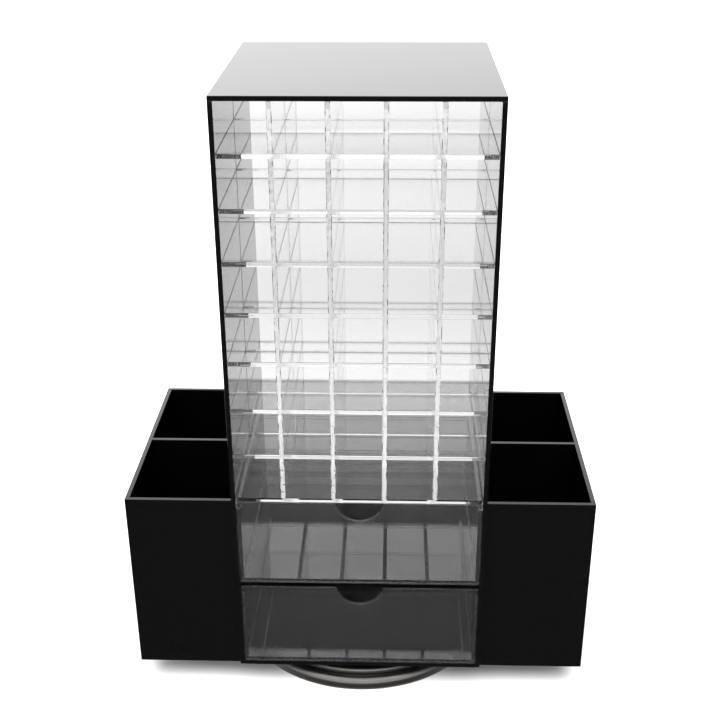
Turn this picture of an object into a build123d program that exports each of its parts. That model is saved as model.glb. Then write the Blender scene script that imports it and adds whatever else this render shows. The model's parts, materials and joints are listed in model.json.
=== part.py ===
"""Rotating nail polish rack: an acrylic tower of bottle cells with two drawers and four side bins.

The frame has +X to the right, +Y to the back and +Z up. The origin is on the table, on the
axis of the turntable. All sizes are in millimetres.
"""
from build123d import *
import math
import os

os.makedirs("parts", exist_ok=True)

# ---- Tower ------------------------------------------------------------------------------
tower_width = 220.0       # across the two side panels
tower_depth = 220.0       # front edge to back edge
black_sheet = 4.0         # black acrylic of the casing and the bins
clear_sheet = 4.0         # clear acrylic of the shelves, dividers and centre panels
columns = 5
rows = 8
cell_height = 39.0        # clear height of one row of bottles

# ---- Side bins --------------------------------------------------------------------------
bin_width = 93.0          # how far a bin stands out from the tower
bin_height = 175.0
bin_recess = 3.0          # a bin's front and back stand this far behind the tower's edges

# ---- Drawers ----------------------------------------------------------------------------
drawer_opening = 84.0     # clear height of each drawer bay
drawer_sheet = 3.0        # clear acrylic of the drawers
drawer_side_gap = 0.5     # from a drawer to the side panels and to the bay's back
drawer_under_gap = 0.2    # under a drawer's bottom
drawer_top_gap = 0.8      # over a drawer's front, and between its sides and the rails
rail_width = 5.0          # anti-tip rails in the top corners of each bay
rail_height = 8.0
notch_width = 42.0        # round finger notch in a drawer's front
notch_depth = 18.0

# ---- Turntable --------------------------------------------------------------------------
turntable_height = 19.5   # table to the underside of the tower
metal = 1.2               # sheet of the dish and the top plate
dish_radius = 120.5
dish_rim_clearance = 1.0  # under the dish's outer edge
dish_shoulder = 7.0       # radius of the rounded shoulder
dish_lip_height = 9.5     # top of the dish
dish_ring_width = 9.5     # outer edge to the groove round the top plate
dish_web_height = 4.5     # top of the dish's floor
groove_gap = 1.5          # open groove between the dish and the top plate
plate_rim_height = 8.5    # lower edge of the top plate's rim
plate_shoulder_height = 13.5
plate_shoulder = 4.0      # radius of the top plate's rounded rim
plate_flat = 6.0          # flat ring inside the top plate's rounded rim
seat_slope = 8.0          # width of the sloping walls beside the seat
seat_width = 16.0         # flat ring that carries the tower
race_margin = 12.0        # foot of the seat's inner slope to the middle of the ball race
ball_radius = 3.0
ball_pitch = 11.7         # spacing of the balls round the race
race_depth = 1.2
race_clearance = 0.05
retainer_sheet = 1.0
retainer_width = 12.0
rivet_radius = 4.0
rivet_clearance = 0.05
rivet_head_radius = 7.5
rivet_head_height = 1.6
rivet_head_gap = 0.15
foot_radius = 7.0
foot_inset = 13.0         # groove to the middle of a foot
foot_count = 6
screw_radius = 2.0
screw_head_radius = 3.6
screw_head_height = 2.2
screw_count = 4
screw_engagement = 3.0    # how far a screw goes into the tower's base
screw_hole_clearance = 0.2
thread_clearance = 0.02
access_hole_radius = 6.0  # in the dish, to reach the screws

# ---- Places worked out from the sizes ----------------------------------------------------
groove_radius = dish_radius - dish_ring_width
plate_radius = groove_radius - groove_gap
seat_outer_radius = plate_radius - plate_shoulder - plate_flat - seat_slope
seat_inner_radius = seat_outer_radius - seat_width
screw_circle = (seat_outer_radius + seat_inner_radius) / 2
race_radius = seat_inner_radius - seat_slope - race_margin
ball_count = int(2 * math.pi * race_radius / ball_pitch)
half_width = tower_width / 2
half_depth = tower_depth / 2
inside_half = half_width - black_sheet
base_z = turntable_height
lower_bay_z = base_z + black_sheet
drawer_shelf_z = lower_bay_z + drawer_opening
upper_bay_z = drawer_shelf_z + clear_sheet
bay_ceiling_z = upper_bay_z + drawer_opening
row_pitch = cell_height + clear_sheet
tower_top_z = bay_ceiling_z + rows * row_pitch + black_sheet
side_top_z = tower_top_z - black_sheet
cell_width = (2 * inside_half - (columns - 1) * clear_sheet) / columns


def save(part, name):
    """Label a finished sub-part and write it to its own file."""
    part.label = name
    export_step(part, f"parts/{name}.step")


def sheet(name, x, y, z):
    """A rectangular sheet between two limits on each axis."""
    with BuildPart() as panel:
        with BuildSketch(Plane.XY.offset(z[0])):
            with Locations(((x[0] + x[1]) / 2, (y[0] + y[1]) / 2)):
                Rectangle(x[1] - x[0], y[1] - y[0])
        extrude(amount=z[1] - z[0])
    save(panel.part, name)


def strips(name, places, width, depth, z):
    """Equal upright strips, all in one node, at the given (x, y) centres."""
    with BuildPart() as group:
        with BuildSketch(Plane.XY.offset(z[0])):
            with Locations(*places):
                Rectangle(width, depth)
        extrude(amount=z[1] - z[0])
    save(group.part, name)


# ---- Casing -----------------------------------------------------------------------------
depth_span = (-half_depth, half_depth)
sheet("left_side_panel", (-half_width, -inside_half), depth_span, (base_z, side_top_z))
sheet("right_side_panel", (inside_half, half_width), depth_span, (base_z, side_top_z))
sheet("top_panel", (-half_width, half_width), depth_span, (side_top_z, tower_top_z))

with BuildPart() as base_panel:
    with BuildSketch(Plane.XY.offset(base_z)):
        Rectangle(2 * inside_half, tower_depth)
    extrude(amount=black_sheet)
    with BuildSketch(Plane.XY.offset(base_z)):
        with PolarLocations(screw_circle, screw_count, start_angle=45):
            Circle(screw_radius + thread_clearance)
    extrude(amount=screw_engagement, mode=Mode.SUBTRACT)
save(base_panel.part, "base_panel")

# ---- Shelves, from the top one down to the ceiling of the drawer bays ---------------------
inside_span = (-inside_half, inside_half)
for row in range(1, rows + 1):
    shelf_z = bay_ceiling_z + (rows - row) * row_pitch
    sheet(f"shelf_{row}", inside_span, depth_span, (shelf_z, shelf_z + clear_sheet))

# ---- Row by row: centre panel and dividers between two shelves ----------------------------
row_spans = [
    (
        bay_ceiling_z + (rows - row) * row_pitch + clear_sheet,
        bay_ceiling_z + (rows - row + 1) * row_pitch,
    )
    for row in range(1, rows + 1)
]

with BuildPart() as centre_panels:
    for low_z, high_z in row_spans:
        with BuildSketch(Plane.XY.offset(low_z)):
            Rectangle(2 * inside_half, clear_sheet)
        extrude(amount=high_z - low_z)
save(centre_panels.part, "centre_panels")

divider_depth = half_depth - clear_sheet / 2
divider_y = half_depth - divider_depth / 2
divider_xs = [
    (column - columns / 2) * (cell_width + clear_sheet)
    for column in range(1, columns)
]
for row, span in enumerate(row_spans, start=1):
    front_places = [(x, -divider_y) for x in divider_xs]
    back_places = [(x, divider_y) for x in divider_xs]
    strips(f"front_dividers_row_{row}", front_places, clear_sheet, divider_depth, span)
    strips(f"back_dividers_row_{row}", back_places, clear_sheet, divider_depth, span)

# ---- Drawer bays: back, shelf between the drawers, anti-tip rails -------------------------
bay_back_y = half_depth - black_sheet
sheet(
    "bay_back_panel",
    inside_span,
    (bay_back_y, half_depth),
    (lower_bay_z, bay_ceiling_z),
)
bay_shelf_span = (-half_depth, bay_back_y)
bay_shelf_z_span = (drawer_shelf_z, drawer_shelf_z + clear_sheet)
sheet("drawer_shelf", inside_span, bay_shelf_span, bay_shelf_z_span)

drawer_front_back_y = -half_depth + drawer_sheet
drawer_back_y = bay_back_y - drawer_side_gap
rail_front_y = drawer_front_back_y + drawer_side_gap
rail_depth = bay_back_y - rail_front_y
rail_x = inside_half - rail_width / 2
rail_y = rail_front_y + rail_depth / 2
rail_places = [(-rail_x, rail_y), (rail_x, rail_y)]


def drawer_rails(name, bay_z):
    """The pair of rails under the ceiling of one bay."""
    high_z = bay_z + drawer_opening
    strips(name, rail_places, rail_width, rail_depth, (high_z - rail_height, high_z))


drawer_rails("lower_drawer_rails", lower_bay_z)
drawer_rails("upper_drawer_rails", upper_bay_z)

# ---- Drawers ----------------------------------------------------------------------------
drawer_half = inside_half - drawer_side_gap
notch_radius = (notch_width**2 / 4 + notch_depth**2) / (2 * notch_depth)


def drawer(name, bay_z):
    """One drawer: notched front, back, two sides and a bottom."""
    floor_z = bay_z + drawer_under_gap
    front_top_z = bay_z + drawer_opening - drawer_top_gap
    wall_z = floor_z + drawer_sheet
    wall_top_z = bay_z + drawer_opening - rail_height - drawer_top_gap
    inner_x = drawer_half - drawer_sheet
    with BuildPart() as front:
        with BuildSketch(Plane.XZ.offset(half_depth)):
            with Locations((0, (floor_z + front_top_z) / 2)):
                Rectangle(2 * drawer_half, front_top_z - floor_z)
            with Locations((0, front_top_z + notch_radius - notch_depth)):
                Circle(notch_radius, mode=Mode.SUBTRACT)
        extrude(amount=-drawer_sheet)
    save(front.part, f"{name}_front")
    depth = (drawer_front_back_y, drawer_back_y)
    walls = (wall_z, wall_top_z)
    bottom_span = (floor_z, floor_z + drawer_sheet)
    sheet(f"{name}_left_side", (-drawer_half, -inner_x), depth, walls)
    sheet(f"{name}_right_side", (inner_x, drawer_half), depth, walls)
    sheet(f"{name}_bottom", (-drawer_half, drawer_half), depth, bottom_span)
    back_depth = (drawer_back_y - drawer_sheet, drawer_back_y)
    sheet(f"{name}_back", (-inner_x, inner_x), back_depth, walls)


drawer("lower_drawer", lower_bay_z)
drawer("upper_drawer", upper_bay_z)

# ---- Side bins --------------------------------------------------------------------------
bin_front_y = -half_depth + bin_recess
bin_inner_y = bin_front_y + black_sheet
bin_top_z = base_z + bin_height
bin_outer_x = half_width + bin_width


def side_bin(name, side):
    """One bin: front, back, outer wall, bottom and divider; side is -1 or +1."""

    def across(near, far):
        return tuple(sorted((side * near, side * far)))

    full = across(half_width, bin_outer_x)
    inside = across(half_width, bin_outer_x - black_sheet)
    outer = across(bin_outer_x - black_sheet, bin_outer_x)
    height = (base_z, bin_top_z)
    inner_height = (base_z + black_sheet, bin_top_z)
    half_sheet = black_sheet / 2
    sheet(f"{name}_front", full, (bin_front_y, bin_inner_y), height)
    sheet(f"{name}_back", full, (-bin_inner_y, -bin_front_y), height)
    sheet(f"{name}_outer_wall", outer, (bin_inner_y, -bin_inner_y), height)
    sheet(f"{name}_bottom", inside, (bin_inner_y, -bin_inner_y), (base_z, base_z + black_sheet))
    sheet(f"{name}_divider", inside, (-half_sheet, half_sheet), inner_height)


side_bin("left_bin", -1)
side_bin("right_bin", 1)

# ---- Turntable: dish, top plate, balls and retainer, rivet, feet and screws ---------------
ball_z = dish_web_height - race_depth + race_clearance + ball_radius
plate_web_under_z = ball_z + ball_radius + race_clearance - race_depth
plate_web_z = plate_web_under_z + metal
race_half = math.sqrt((ball_radius + race_clearance) ** 2 - (ball_radius - race_depth) ** 2)

with BuildPart() as dish:
    with BuildSketch(Plane.XZ):
        with BuildLine():
            shoulder_x = dish_radius - dish_shoulder
            shoulder_z = dish_lip_height - dish_shoulder
            rim = Line((dish_radius, dish_rim_clearance), (dish_radius, shoulder_z))
            shoulder = CenterArc((shoulder_x, shoulder_z), dish_shoulder, 0, 90)
            lip = Polyline(
                shoulder @ 1,
                (groove_radius, dish_lip_height),
                (groove_radius, dish_web_height),
                (race_radius + race_half, dish_web_height),
            )
            race = ThreePointArc(
                lip @ 1,
                (race_radius, dish_web_height - race_depth),
                (race_radius - race_half, dish_web_height),
            )
            web = Polyline(race @ 1, (0, dish_web_height), (0, dish_web_height - metal))
            under_race = ThreePointArc(
                (race_radius - race_half - metal / 2, dish_web_height - metal),
                (race_radius, dish_web_height - race_depth - metal),
                (race_radius + race_half + metal / 2, dish_web_height - metal),
            )
            Line(web @ 1, under_race @ 0)
            inside = Polyline(
                under_race @ 1,
                (groove_radius + metal, dish_web_height - metal),
                (groove_radius + metal, dish_lip_height - metal),
                (shoulder_x, dish_lip_height - metal),
            )
            inner_shoulder = CenterArc((shoulder_x, shoulder_z), dish_shoulder - metal, 0, 90)
            Polyline(
                inner_shoulder @ 0,
                (dish_radius - metal, dish_rim_clearance),
                rim @ 0,
            )
        make_face()
    revolve(axis=Axis.Z)
    with BuildSketch(Plane.XY):
        Circle(rivet_radius + rivet_clearance)
        with Locations((0, screw_circle)):
            Circle(access_hole_radius)
    extrude(amount=dish_web_height, mode=Mode.SUBTRACT)
save(dish.part, "turntable_dish")

with BuildPart() as top_plate:
    with BuildSketch(Plane.XZ):
        with BuildLine():
            rim_z = plate_shoulder_height - plate_shoulder
            rim = Line((plate_radius, plate_rim_height), (plate_radius, rim_z))
            shoulder = CenterArc((plate_radius - plate_shoulder, rim_z), plate_shoulder, 0, 90)
            seat = Polyline(
                shoulder @ 1,
                (seat_outer_radius + seat_slope, plate_shoulder_height),
                (seat_outer_radius, base_z),
                (seat_inner_radius, base_z),
                (seat_inner_radius - seat_slope, plate_web_z),
                (race_radius + race_half + metal / 2, plate_web_z),
            )
            race = ThreePointArc(
                seat @ 1,
                (race_radius, plate_web_z + race_depth),
                (race_radius - race_half - metal / 2, plate_web_z),
            )
            web = Polyline(race @ 1, (0, plate_web_z), (0, plate_web_under_z))
            under_race = ThreePointArc(
                (race_radius - race_half, plate_web_under_z),
                (race_radius, plate_web_under_z + race_depth),
                (race_radius + race_half, plate_web_under_z),
            )
            Line(web @ 1, under_race @ 0)
            inside = Polyline(
                under_race @ 1,
                (seat_inner_radius - seat_slope + metal, plate_web_under_z),
                (seat_inner_radius + metal / 2, base_z - metal),
                (seat_outer_radius - metal / 2, base_z - metal),
                (seat_outer_radius + seat_slope - metal, plate_shoulder_height - metal),
                (plate_radius - plate_shoulder, plate_shoulder_height - metal),
            )
            inner_shoulder = CenterArc(
                (plate_radius - plate_shoulder, rim_z), plate_shoulder - metal, 0, 90
            )
            Polyline(
                inner_shoulder @ 0,
                (plate_radius - metal, plate_rim_height),
                rim @ 0,
            )
        make_face()
    revolve(axis=Axis.Z)
    with BuildSketch(Plane.XY):
        Circle(rivet_radius + rivet_clearance)
        with PolarLocations(screw_circle, screw_count, start_angle=45):
            Circle(screw_radius + screw_hole_clearance)
    extrude(amount=base_z, mode=Mode.SUBTRACT)
save(top_plate.part, "turntable_top_plate")

with BuildPart(Plane.XY.offset(ball_z)) as balls:
    with PolarLocations(race_radius, ball_count):
        Sphere(ball_radius)
save(balls.part, "bearing_balls")

with BuildPart() as retainer:
    with BuildSketch(Plane.XY.offset(ball_z - retainer_sheet / 2)):
        Circle(race_radius + retainer_width / 2)
        Circle(race_radius - retainer_width / 2, mode=Mode.SUBTRACT)
        with PolarLocations(race_radius, ball_count):
            Circle(ball_radius + race_clearance, mode=Mode.SUBTRACT)
    extrude(amount=retainer_sheet)
save(retainer.part, "ball_retainer")

rivet_low_z = dish_web_height - metal - rivet_head_height
rivet_high_z = plate_web_z + rivet_head_gap
with BuildPart() as rivet:
    with BuildSketch(Plane.XY.offset(rivet_low_z)):
        Circle(rivet_head_radius)
    extrude(amount=rivet_head_height)
    with BuildSketch(Plane.XY.offset(rivet_low_z)):
        Circle(rivet_radius)
    extrude(amount=rivet_high_z + rivet_head_height - rivet_low_z)
    with BuildSketch(Plane.XY.offset(rivet_high_z)):
        Circle(rivet_head_radius)
    extrude(amount=rivet_head_height)
save(rivet.part, "pivot_rivet")

with BuildPart() as feet:
    with BuildSketch(Plane.XY):
        with PolarLocations(groove_radius - foot_inset, foot_count):
            Circle(foot_radius)
    extrude(amount=dish_web_height - metal)
save(feet.part, "rubber_feet")

screw_head_z = base_z - metal - screw_head_height
with BuildPart() as screws:
    with BuildSketch(Plane.XY.offset(screw_head_z)):
        with PolarLocations(screw_circle, screw_count, start_angle=45):
            Circle(screw_head_radius)
    extrude(amount=screw_head_height)
    with BuildSketch(Plane.XY.offset(base_z - metal)):
        with PolarLocations(screw_circle, screw_count, start_angle=45):
            Circle(screw_radius)
    extrude(amount=metal + screw_engagement)
save(screws.part, "turntable_screws")
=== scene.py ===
"""Looks of the rotating nail polish rack: cast acrylic tower, clear drawers and steel turntable."""
import json
import math

import bmesh
import bpy
from mathutils import Matrix, Vector


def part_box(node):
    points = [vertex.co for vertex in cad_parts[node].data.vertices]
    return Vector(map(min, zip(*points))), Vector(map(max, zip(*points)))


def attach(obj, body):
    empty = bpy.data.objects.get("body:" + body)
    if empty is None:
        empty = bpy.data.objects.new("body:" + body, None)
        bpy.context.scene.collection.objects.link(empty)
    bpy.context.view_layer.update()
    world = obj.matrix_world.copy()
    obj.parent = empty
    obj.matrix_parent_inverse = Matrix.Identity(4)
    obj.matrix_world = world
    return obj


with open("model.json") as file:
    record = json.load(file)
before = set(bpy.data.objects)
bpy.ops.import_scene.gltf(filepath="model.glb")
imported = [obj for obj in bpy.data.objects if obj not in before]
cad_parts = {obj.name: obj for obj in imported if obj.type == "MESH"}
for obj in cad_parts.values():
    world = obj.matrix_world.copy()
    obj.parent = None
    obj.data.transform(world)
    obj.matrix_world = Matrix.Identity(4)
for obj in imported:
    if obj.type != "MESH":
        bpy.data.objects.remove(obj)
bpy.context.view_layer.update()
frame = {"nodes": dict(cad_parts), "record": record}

MM = 0.001

# ---- Camera: place, aim and lens ----------------------------------------------------------
CAMERA_PLACE = (0.0272, -0.9470, 0.7292)
CAMERA_YAW = 1.76          # degrees to the left of +Y
CAMERA_PITCH = 25.39       # degrees below the horizon
CAMERA_ROLL = -0.255       # degrees
SENSOR_WIDTH = 36.0        # mm
LENS = 57.55               # mm

# ---- Studio: brightness of the sky, as multiples of plain white ---------------------------
# By height of the direction: (sine of its elevation, brightness). The stretch below the
# horizon is what shows through the clear sheets.
SKY_BEHIND = (
    (-1.0, 0.41),
    (-0.6, 0.41),
    (-0.48, 1.0),
    (-0.38, 0.92),
    (-0.3, 1.22),
    (-0.28, 1.15),
    (-0.262, 1.3),
    (-0.25, 1.45),
    (-0.243, 0.85),
    (-0.2, 0.8),
    (-0.1, 0.45),
    (0.03, 1.3),
    (0.13, 1.3),
    (0.22, 1.43),
    (0.27, 0.7),
    (0.36, 0.75),
    (0.46, 1.35),
    (0.56, 0.95),
    (0.7, 1.3),
    (1.0, 1.3),
)
# Dim room in front, with a soft lamp bank high above it.
SKY_FRONT = (
    (-1.0, 1.0),
    (-0.8, 0.7),
    (-0.66, 0.045),
    (0.3, 0.045),
    (0.6, 1.1),
    (0.85, 0.6),
    (1.0, 1.6),
)
# How the front dims to the sides: (sideways part of the direction, share of brightness).
SKY_FRONT_SPREAD = ((0.0, 1.0), (0.3, 0.8), (0.7, 0.3), (1.0, 0.15))
SKY_PEAK = 2.2             # above the brightest value; scales the ramps into 0 to 1
SKY_RIGHT_FALL = 0.35      # share by which the wall behind dims towards the right
FRONT_TO_WALL = (-0.3, 0.4)  # backward part of the direction over which front turns into wall
FLOOR_SIZE = 14.0          # metres across
CEILING_LIGHT_SIZE = 7.0   # metres
CEILING_LIGHT_HEIGHT = 3.5
CEILING_LIGHT_POWER = 420.0

# ---- Counts and sizes of the CAD model that its boxes don't give ---------------------------
ROWS = 8
COLUMNS = 5
RAIL_WIDTH = 5.0 * MM
# The axis that each drawer sheet faces; its edges are the faces that look another way.
DRAWER_PIECES = {"front": "Y", "back": "Y", "left_side": "X", "right_side": "X", "bottom": "Z"}

# ---- Finishes ------------------------------------------------------------------------------
SHEET_EDGE = 0.35 * MM     # polished round on the edges of the black sheets
CLEAR_EDGE = 0.20 * MM     # polished round on the edges of the clear sheets
ACRYLIC_IOR = 1.49
WELD = 0.01 * MM           # how far solvent welding sinks each clear sheet into its neighbour
FILM = 0.03 * MM           # thickness of dried cement and of the chipped layer
CHIP_WIDTH = 0.55 * MM     # chipped strip along each corner of a divider's end
SAWN_DEPTH = 0.02 * MM     # height of the saw marks on the edges of the drawers' sheets
SAWN_FROST = (0.2, 0.4)    # roughness of those edges
DRAWER_HAZE = 0.01         # roughness where fingers smudged the drawers
DRAWER_CLEARNESS = 0.999
FRONT_CLEARNESS = 0.987    # the fronts are scuffed by hands, so they look a little milky


def srgb(code):
    """A hex colour such as "#a0b0c0" as a linear RGBA tuple."""
    parts = [int(code[i : i + 2], 16) / 255 for i in (1, 3, 5)]
    lin = [c / 12.92 if c <= 0.04045 else ((c + 0.055) / 1.055) ** 2.4 for c in parts]
    return (*lin, 1.0)


def add(tree, kind, links=None, **settings):
    """Adds a node: settings are its properties, links map its inputs to sockets or values."""
    node = tree.nodes.new(kind)
    for key, value in settings.items():
        setattr(node, key, value)
    for key, value in (links or {}).items():
        if isinstance(value, bpy.types.NodeSocket):
            tree.links.new(value, node.inputs[key])
        else:
            node.inputs[key].default_value = value
    return node


def ramp(tree, factor, stops, mode="LINEAR"):
    """A colour ramp through (position, grey or RGBA) stops; returns its colour."""
    node = add(tree, "ShaderNodeValToRGB", {"Fac": factor})
    band = node.color_ramp
    band.interpolation = mode
    while len(band.elements) < len(stops):
        band.elements.new(0.5)
    for element, (place, value) in zip(band.elements, stops):
        element.position = place
        element.color = value if isinstance(value, tuple) else (value, value, value, 1.0)
    return node.outputs["Color"]


def new_material(name):
    """An empty node material with its output and the row's own coordinates."""
    material = bpy.data.materials.new(name)
    material.use_nodes = True
    tree = material.node_tree
    tree.nodes.clear()
    output = add(tree, "ShaderNodeOutputMaterial")
    place = add(tree, "ShaderNodeTexCoord").outputs["Object"]
    return material, tree, output, place


def noise(tree, place, size_mm, detail=2.0, roughness=0.5):
    """Noise whose features are about size_mm across; returns its value."""
    settings = {
        "Vector": place,
        "Scale": 1.0 / (size_mm * MM),
        "Detail": detail,
        "Roughness": roughness,
    }
    return add(tree, "ShaderNodeTexNoise", settings).outputs["Fac"]


# ---- Materials -----------------------------------------------------------------------------
def black_cast_acrylic():
    """Black cast acrylic, polished and waxed: deep mirror gloss with faint waviness of the sheet."""
    material, tree, output, place = new_material("black_cast_acrylic")
    haze = noise(tree, place, 45.0, detail=4.0)
    wipe_marks = noise(tree, place, 6.0, detail=6.0, roughness=0.65)
    mixed = add(tree, "ShaderNodeMath", {0: haze, 1: wipe_marks}, operation="MULTIPLY").outputs[0]
    gloss = ramp(tree, mixed, [(0.15, 0.035), (0.45, 0.075)])
    wave = add(
        tree,
        "ShaderNodeBump",
        {"Height": noise(tree, place, 90.0, detail=1.0), "Strength": 0.04, "Distance": 1.0 * MM},
    )
    shader = add(
        tree,
        "ShaderNodeBsdfPrincipled",
        {
            "Base Color": srgb("#070708"),
            "Roughness": gloss,
            "IOR": ACRYLIC_IOR,
            "Coat Weight": 0.6,
            "Coat Roughness": 0.04,
            "Normal": wave.outputs[0],
        },
    )
    tree.links.new(shader.outputs[0], output.inputs["Surface"])
    return material


def clear_cast_acrylic(name, tint, haze=0.0, clearness=1.0, sawn=None, frost=None):
    """Water-clear cast acrylic: bends and mirrors light like glass, with a trace of surface haze.

    If sawn names the axis that the sheet faces, its other faces are edges left from the saw, and
    frost is their least and most roughness.
    """
    material, tree, output, place = new_material(name)
    gloss = 0.0
    if haze:
        smudges = noise(tree, place, 30.0, detail=5.0, roughness=0.6)
        gloss = ramp(tree, smudges, [(0.35, 0.0), (0.75, haze)])
    settings = {
        "Base Color": srgb(tint),
        "Roughness": gloss,
        "IOR": ACRYLIC_IOR,
        "Transmission Weight": clearness,
    }
    if sawn:
        facing = add(tree, "ShaderNodeTexCoord").outputs["Normal"]
        axes = add(tree, "ShaderNodeSeparateXYZ", {0: facing}).outputs
        across = add(tree, "ShaderNodeMath", {0: axes[sawn]}, operation="ABSOLUTE").outputs[0]
        edge = ramp(tree, across, [(0.3, 1.0), (0.5, 0.0)])
        # Real saw marks are near 0.3 mm apart; drawn at 1.1 mm so that they show.
        marks = noise(tree, place, 1.1, detail=4.0, roughness=0.7)
        cut = ramp(tree, marks, [(0.35, frost[0]), (0.7, frost[1])])
        chips = ramp(tree, marks, [(0.58, srgb("#ffffff")), (0.68, srgb("#b9b5ae"))])
        settings["Base Color"] = add(
            tree, "ShaderNodeMix", {"Factor": edge, "A": srgb(tint), "B": chips}, data_type="RGBA"
        ).outputs["Result"]
        settings["Roughness"] = add(
            tree, "ShaderNodeMix", {"Factor": edge, "A": gloss, "B": cut}, data_type="FLOAT"
        ).outputs["Result"]
        settings["Normal"] = add(
            tree, "ShaderNodeBump", {"Height": marks, "Strength": edge, "Distance": SAWN_DEPTH}
        ).outputs[0]
    shader = add(tree, "ShaderNodeBsdfPrincipled", settings)
    tree.links.new(shader.outputs[0], output.inputs["Surface"])
    return material


def spun_stainless_steel():
    """Stainless steel spun on a lathe: fine rings around the axis that stretch the highlights."""
    material, tree, output, place = new_material("spun_stainless_steel")
    axes = add(tree, "ShaderNodeSeparateXYZ", {0: place}).outputs
    flat = add(tree, "ShaderNodeCombineXYZ", {0: axes["X"], 1: axes["Y"], 2: 0.0}).outputs[0]
    radius = add(tree, "ShaderNodeVectorMath", {0: flat}, operation="LENGTH").outputs["Value"]
    rings_place = add(tree, "ShaderNodeCombineXYZ", {0: radius, 1: axes["Z"], 2: 0.0}).outputs[0]
    # Real turning marks are near 0.1 mm; drawn at 0.6 mm so that they show.
    rings = noise(tree, rings_place, 0.6, detail=3.0, roughness=0.6)
    smears = noise(tree, place, 25.0, detail=3.0)
    shade = ramp(tree, rings, [(0.25, srgb("#a19e9b")), (0.75, srgb("#d6d3d0"))])
    gloss = ramp(tree, smears, [(0.3, 0.40), (0.7, 0.52)])
    grooves = add(
        tree,
        "ShaderNodeBump",
        {"Height": rings, "Strength": 0.25, "Distance": 0.15 * MM},
    )
    shader = add(
        tree,
        "ShaderNodeBsdfPrincipled",
        {
            "Base Color": shade,
            "Metallic": 1.0,
            "Roughness": gloss,
            "Anisotropic": 0.8,
            "Normal": grooves.outputs[0],
        },
    )
    tree.links.new(shader.outputs[0], output.inputs["Surface"])
    return material


def plain_steel(name, dark, light, gloss_low, gloss_high, grain_mm):
    """Small steel parts: an even metal with a fine mottle from the plating or the polish."""
    material, tree, output, place = new_material(name)
    mottle = noise(tree, place, grain_mm, detail=4.0)
    shader = add(
        tree,
        "ShaderNodeBsdfPrincipled",
        {
            "Base Color": ramp(tree, mottle, [(0.3, srgb(dark)), (0.7, srgb(light))]),
            "Metallic": 1.0,
            "Roughness": ramp(tree, mottle, [(0.3, gloss_low), (0.7, gloss_high)]),
        },
    )
    tree.links.new(shader.outputs[0], output.inputs["Surface"])
    return material


def moulded_rubber():
    """Moulded black rubber: dull and slightly grainy."""
    material, tree, output, place = new_material("moulded_rubber")
    grain = noise(tree, place, 0.8, detail=5.0)
    bump = add(tree, "ShaderNodeBump", {"Height": grain, "Strength": 0.3, "Distance": 0.1 * MM})
    shader = add(
        tree,
        "ShaderNodeBsdfPrincipled",
        {
            "Base Color": ramp(tree, grain, [(0.3, srgb("#141414")), (0.7, srgb("#222222"))]),
            "Roughness": ramp(tree, grain, [(0.3, 0.6), (0.7, 0.8)]),
            "Normal": bump.outputs[0],
        },
    )
    tree.links.new(shader.outputs[0], output.inputs["Surface"])
    return material


def studio_floor_paint():
    """Matt white studio floor."""
    material, tree, output, place = new_material("studio_floor_paint")
    mottle = noise(tree, place, 400.0, detail=2.0)
    shader = add(
        tree,
        "ShaderNodeBsdfPrincipled",
        {
            "Base Color": ramp(tree, mottle, [(0.3, srgb("#f3f3f3")), (0.7, srgb("#f7f7f7"))]),
            "Roughness": 0.9,
            "Specular IOR Level": 0.1,
        },
    )
    tree.links.new(shader.outputs[0], output.inputs["Surface"])
    return material


def dried_cement():
    """Solvent cement against a black sheet: it soaks up the light inside the clear sheet."""
    material, tree, output, place = new_material("dried_cement_on_black")
    bubbles = noise(tree, place, 3.0, detail=3.0, roughness=0.6)
    shader = add(
        tree,
        "ShaderNodeBsdfPrincipled",
        {
            "Base Color": ramp(tree, bubbles, [(0.55, srgb("#050506")), (0.75, srgb("#3a3a3d"))]),
            "Roughness": 0.9,
            "Specular IOR Level": 0.0,
            "Alpha": ramp(tree, bubbles, [(0.60, 1.0), (0.66, 0.0)]),
        },
    )
    tree.links.new(shader.outputs[0], output.inputs["Surface"])
    return material


def chipped_corner():
    """Chips along a sawn corner, grey with dust: broken dark lines down the ends of the dividers."""
    material, tree, output, place = new_material("chipped_corner_of_clear_sheet")
    along = add(
        tree, "ShaderNodeVectorMath", {0: place, 1: (1.0, 1.0, 0.25)}, operation="MULTIPLY"
    ).outputs[0]
    chips = noise(tree, along, 1.3, detail=3.0, roughness=0.6)
    shader = add(
        tree,
        "ShaderNodeBsdfPrincipled",
        {
            "Base Color": ramp(tree, chips, [(0.5, srgb("#8a857f")), (0.7, srgb("#3a3835"))]),
            "Roughness": 0.7,
            "Specular IOR Level": 0.2,
            "Alpha": ramp(tree, chips, [(0.50, 0.0), (0.60, 0.9)]),
        },
    )
    tree.links.new(shader.outputs[0], output.inputs["Surface"])
    return material


# ---- Cement films and chipped corners -------------------------------------------------------
# Faces of a box whose eight corners are numbered by x, then y, then z.
BOX_FACES = (
    (0, 1, 3, 2),
    (4, 6, 7, 5),
    (0, 4, 5, 1),
    (2, 3, 7, 6),
    (0, 2, 6, 4),
    (1, 5, 7, 3),
)


def add_box(builder, low, high):
    """Adds a closed box to a bmesh, between two opposite corners."""
    corners = [
        builder.verts.new((x, y, z))
        for x in (low[0], high[0])
        for y in (low[1], high[1])
        for z in (low[2], high[2])
    ]
    for face in BOX_FACES:
        builder.faces.new([corners[i] for i in face])


def film_on(builder, low, high, axis, side):
    """A film on one face of a box: axis is 0, 1 or 2, side is -1 for its low end, 1 for its high."""
    low, high = list(low), list(high)
    face = low[axis] if side < 0 else high[axis]
    for i in range(3):
        low[i] += FILM
        high[i] -= FILM
    low[axis], high[axis] = sorted((face + side * WELD / 2, face - side * FILM))
    add_box(builder, low, high)


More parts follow.
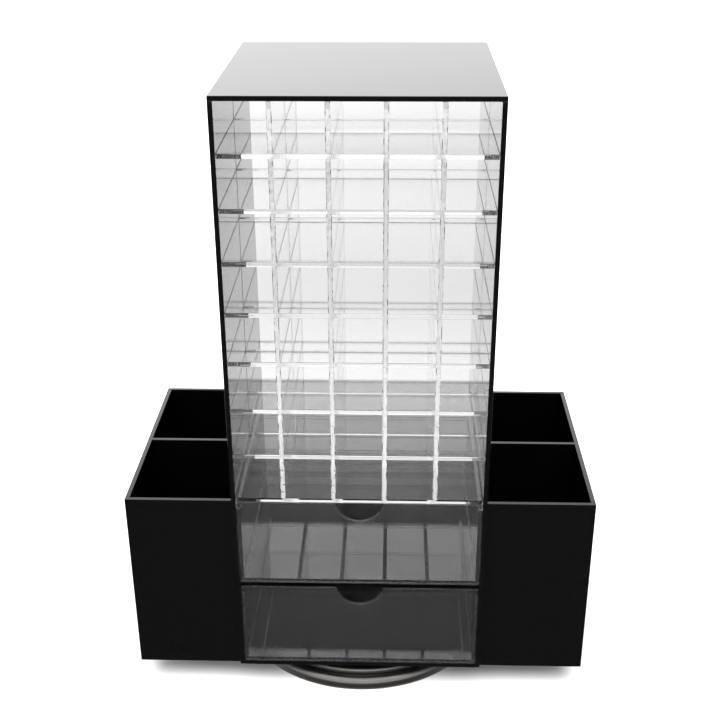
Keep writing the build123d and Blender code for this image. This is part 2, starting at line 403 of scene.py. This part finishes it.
def make_films(name, material, faces):
    """One piece of films that rides on the rack; faces lists the arguments of film_on."""
    builder = bmesh.new()
    for low, high, axis, side in faces:
        film_on(builder, low, high, axis, side)
    bmesh.ops.recalc_face_normals(builder, faces=builder.faces)
    mesh = bpy.data.meshes.new(name)
    builder.to_mesh(mesh)
    builder.free()
    mesh.materials.append(material)
    films = bpy.data.objects.new(name, mesh)
    bpy.context.scene.collection.objects.link(films)
    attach(films, "rack")


def sheet_thickness():
    """Thickness of the clear sheets, from the centre panels."""
    low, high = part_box("centre_panels")
    return high.y - low.y


def divider_boxes(node):
    """Corners of each of the four dividers of one node."""
    low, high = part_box(node)
    thick = sheet_thickness()
    pitch = (high.x - low.x - thick) / (COLUMNS - 2)
    for column in range(COLUMNS - 1):
        left = low.x + column * pitch
        yield Vector((left, low.y, low.z)), Vector((left + thick, high.y, high.z))


def row_films(shelves):
    """Films at both ends of each shelf and centre panel, and on top of the top row."""
    panel_low, panel_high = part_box("centre_panels")
    ceilings = [panel_high.z] + [low.z for low, high in shelves[:-1]]
    for (low, high), ceiling in zip(shelves, ceilings):
        bottom = Vector((panel_low.x, panel_low.y, high.z))
        top = Vector((panel_high.x, panel_high.y, ceiling))
        for side in (-1, 1):
            yield low, high, 0, side
            yield bottom, top, 0, side
    top_row = Vector((panel_low.x, panel_low.y, shelves[0][1].z))
    yield top_row, panel_high, 2, 1
    for end in ("front", "back"):
        for low, high in divider_boxes(f"{end}_dividers_row_1"):
            yield low, high, 2, 1


def bay_films(lowest_shelf):
    """Films beside the rails of the drawer bays, and over their back panel."""
    for node in ("upper_drawer_rails", "lower_drawer_rails"):
        low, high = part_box(node)
        yield low, Vector((low.x + RAIL_WIDTH, high.y, high.z)), 0, -1
        yield Vector((high.x - RAIL_WIDTH, low.y, low.z)), high, 0, 1
    back_low, back_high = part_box("bay_back_panel")
    shelf_low, shelf_high = lowest_shelf
    low = Vector((back_low.x, back_low.y, shelf_low.z))
    high = Vector((back_high.x, back_high.y, shelf_high.z))
    yield low, high, 2, -1


def make_cement_films():
    """Dried cement where the clear sheets meet the black casing."""
    shelves = [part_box(f"shelf_{row}") for row in range(1, ROWS + 1)]
    faces = [*row_films(shelves), *bay_films(shelves[-1])]
    make_films("cement_films", dried_cement(), faces)


def make_chipped_corners():
    """A chipped strip down both corners of the front end of each front divider."""
    faces = []
    for row in range(1, ROWS + 1):
        for low, high in divider_boxes(f"front_dividers_row_{row}"):
            for left in (low.x, high.x - CHIP_WIDTH):
                strip_low = Vector((left, low.y + CLEAR_EDGE, low.z))
                strip_high = Vector((left + CHIP_WIDTH, high.y, high.z))
                faces.append((strip_low, strip_high, 1, -1))
    make_films("chipped_corners", chipped_corner(), faces)


# ---- CAD pieces: finish and edges -----------------------------------------------------------
def close_mesh(obj):
    """Joins the split corners of a piece, so that its edges can be rounded."""
    weld = obj.modifiers.new("closed_corners", "WELD")
    weld.merge_threshold = 0.001 * MM


def weld_to_neighbours(obj):
    """Grows a clear sheet by the solvent weld, so that light passes straight on at a joint."""
    grow = obj.modifiers.new("solvent_weld", "DISPLACE")
    grow.mid_level = 0.0
    grow.strength = WELD * math.sqrt(3)


def round_edges(obj, width, segments=2):
    """Gives the sharp edges of a piece their small polished round."""
    bevel = obj.modifiers.new("polished_edges", "BEVEL")
    bevel.width = width
    bevel.segments = segments
    bevel.limit_method = "ANGLE"
    bevel.angle_limit = math.radians(40)
    bevel.harden_normals = False


def dress(slot_materials, own_materials, edges):
    """Gives each CAD piece its own material or that of its slot, and its edge round."""
    slots = {s["node"]: s["material_slot"] for s in frame["record"]["subparts"]}
    for name, obj in frame["nodes"].items():
        slot = slots[name]
        material = own_materials.get(name, slot_materials[slot])
        for index in range(len(obj.material_slots)):
            obj.material_slots[index].material = material
        if slot in edges:
            close_mesh(obj)
            if slot != "black_acrylic":
                weld_to_neighbours(obj)
            round_edges(obj, edges[slot])


# ---- Stage -----------------------------------------------------------------------------------
def make_floor():
    """One large plain floor; the polished sheets mirror and show the soft sky in its place."""
    mesh = bpy.data.meshes.new("studio_floor")
    half = FLOOR_SIZE / 2
    corners = [(-half, -half, 0), (half, -half, 0), (half, half, 0), (-half, half, 0)]
    mesh.from_pydata(corners, [], [(0, 1, 2, 3)])
    mesh.materials.append(studio_floor_paint())
    floor = bpy.data.objects.new("studio_floor", mesh)
    floor.visible_glossy = False
    floor.visible_transmission = False
    bpy.context.scene.collection.objects.link(floor)


def make_sky():
    """Soft studio light: bright wall behind, dim room in front with a lamp bank above it.

    Light that comes straight through the clear sheets is the same from all sides.
    """
    world = bpy.data.worlds.new("studio_sky")
    world.use_nodes = True
    bpy.context.scene.world = world
    tree = world.node_tree
    tree.nodes.clear()
    direction = add(tree, "ShaderNodeTexCoord").outputs["Generated"]
    axes = add(tree, "ShaderNodeSeparateXYZ", {0: direction}).outputs
    place = add(
        tree,
        "ShaderNodeMapRange",
        {"Value": axes["Z"], "From Min": -1.0, "From Max": 1.0, "To Min": 0.0, "To Max": 1.0},
    ).outputs["Result"]
    behind, front = (
        ramp(tree, place, [((z + 1) / 2, value / SKY_PEAK) for z, value in stops])
        for stops in (SKY_BEHIND, SKY_FRONT)
    )
    aside = add(tree, "ShaderNodeMath", {0: axes["X"]}, operation="ABSOLUTE").outputs[0]
    spread = ramp(tree, aside, [(place, value * SKY_PEAK) for place, value in SKY_FRONT_SPREAD])
    room = add(tree, "ShaderNodeMath", {0: front, 1: spread}, operation="MULTIPLY").outputs[0]
    fall = add(
        tree,
        "ShaderNodeMath",
        {0: axes["X"], 1: -SKY_RIGHT_FALL * SKY_PEAK, 2: SKY_PEAK},
        operation="MULTIPLY_ADD",
    ).outputs[0]
    wall = add(tree, "ShaderNodeMath", {0: behind, 1: fall}, operation="MULTIPLY").outputs[0]
    share = add(
        tree,
        "ShaderNodeMapRange",
        {
            "Value": axes["Y"],
            "From Min": FRONT_TO_WALL[0],
            "From Max": FRONT_TO_WALL[1],
            "To Min": 0.0,
            "To Max": 1.0,
        },
        interpolation_type="SMOOTHSTEP",
    ).outputs["Result"]
    path = add(tree, "ShaderNodeLightPath").outputs
    straight = add(
        tree, "ShaderNodeMath", {0: path["Glossy Depth"], 1: 0.5}, operation="LESS_THAN"
    ).outputs[0]
    share = add(tree, "ShaderNodeMath", {0: share, 1: straight}, operation="MAXIMUM").outputs[0]
    light = add(
        tree, "ShaderNodeMix", {"Factor": share, "A": room, "B": wall}, data_type="FLOAT"
    ).outputs["Result"]
    lit = add(tree, "ShaderNodeBackground", {"Color": srgb("#ffffff"), "Strength": light})
    seen = add(tree, "ShaderNodeBackground", {"Color": srgb("#ffffff"), "Strength": 1.0})
    eye = path["Is Camera Ray"]
    mixed = add(tree, "ShaderNodeMixShader", {0: eye, 1: lit.outputs[0], 2: seen.outputs[0]})
    add(tree, "ShaderNodeOutputWorld", {"Surface": mixed.outputs[0]})


def make_ceiling_light():
    """Large soft light overhead that brightens the floor; polished faces don't mirror it."""
    data = bpy.data.lights.new("ceiling_light", "AREA")
    data.size = CEILING_LIGHT_SIZE
    data.energy = CEILING_LIGHT_POWER
    light = bpy.data.objects.new("ceiling_light", data)
    light.location = (0.0, 0.0, CEILING_LIGHT_HEIGHT)
    light.visible_glossy = False
    light.visible_transmission = False
    bpy.context.scene.collection.objects.link(light)


def make_camera():
    """Camera in front of the rack, above it and a little to the right."""
    yaw, pitch, roll = (math.radians(a) for a in (CAMERA_YAW, CAMERA_PITCH, CAMERA_ROLL))
    right = Vector((math.cos(yaw), math.sin(yaw), 0.0))
    forward = Vector(
        (-math.sin(yaw) * math.cos(pitch), math.cos(yaw) * math.cos(pitch), -math.sin(pitch))
    )
    up = right.cross(forward)
    tilted_right = right * math.cos(roll) + up * math.sin(roll)
    tilted_up = up * math.cos(roll) - right * math.sin(roll)
    turn = Matrix((tilted_right, tilted_up, -forward)).transposed()
    data = bpy.data.cameras.new("camera")
    data.sensor_width = SENSOR_WIDTH
    data.lens = LENS
    data.clip_start = 0.01
    data.clip_end = 50.0
    camera = bpy.data.objects.new("camera", data)
    camera.matrix_world = Matrix.Translation(CAMERA_PLACE) @ turn.to_4x4()
    bpy.context.scene.collection.objects.link(camera)
    bpy.context.scene.camera = camera


def set_light_paths():
    """Plain tones, and long light paths: light passes many sheets and travels along each one."""
    scene = bpy.context.scene
    scene.view_settings.view_transform = "Standard"
    cycles = scene.cycles
    cycles.max_bounces = 48
    cycles.transmission_bounces = 48
    cycles.glossy_bounces = 24
    cycles.diffuse_bounces = 3
    cycles.transparent_max_bounces = 32


make_camera()
make_sky()
make_floor()
make_ceiling_light()
set_light_paths()

own_looks = {}
divider_look = clear_cast_acrylic("clear_cast_acrylic_dividers", "#fefefe")
for row in range(1, ROWS + 1):
    own_looks[f"front_dividers_row_{row}"] = divider_look

drawer_looks = {}
for axis in "XYZ":
    drawer_looks[axis] = clear_cast_acrylic(
        f"clear_cast_acrylic_drawer_{axis.lower()}",
        "#fbfbfc",
        DRAWER_HAZE,
        DRAWER_CLEARNESS,
        axis,
        SAWN_FROST,
    )
front_look = clear_cast_acrylic(
    "clear_cast_acrylic_drawer_front", "#fbfbfc", DRAWER_HAZE, FRONT_CLEARNESS, "Y", SAWN_FROST
)
for drawer in ("upper_drawer", "lower_drawer"):
    for piece, axis in DRAWER_PIECES.items():
        own_looks[f"{drawer}_{piece}"] = drawer_looks[axis]
    own_looks[f"{drawer}_front"] = front_look

slot_looks = {
    "black_acrylic": black_cast_acrylic(),
    "clear_acrylic": clear_cast_acrylic("clear_cast_acrylic", "#fdfdfd"),
    "drawer_acrylic": drawer_looks["Z"],
    "turntable_steel": spun_stainless_steel(),
    "zinc_steel": plain_steel("zinc_plated_steel", "#9a9da0", "#c4c7c9", 0.25, 0.4, 3.0),
    "ball_steel": plain_steel("polished_bearing_steel", "#b8b9bb", "#d6d7d8", 0.05, 0.12, 2.0),
    "retainer_steel": plain_steel("stamped_steel_strip", "#85878a", "#a9abad", 0.3, 0.5, 4.0),
    "foot_rubber": moulded_rubber(),
}
edge_rounds = {
    "black_acrylic": SHEET_EDGE,
    "clear_acrylic": CLEAR_EDGE,
    "drawer_acrylic": CLEAR_EDGE,
}
dress(slot_looks, own_looks, edge_rounds)
make_cement_films()
make_chipped_corners()
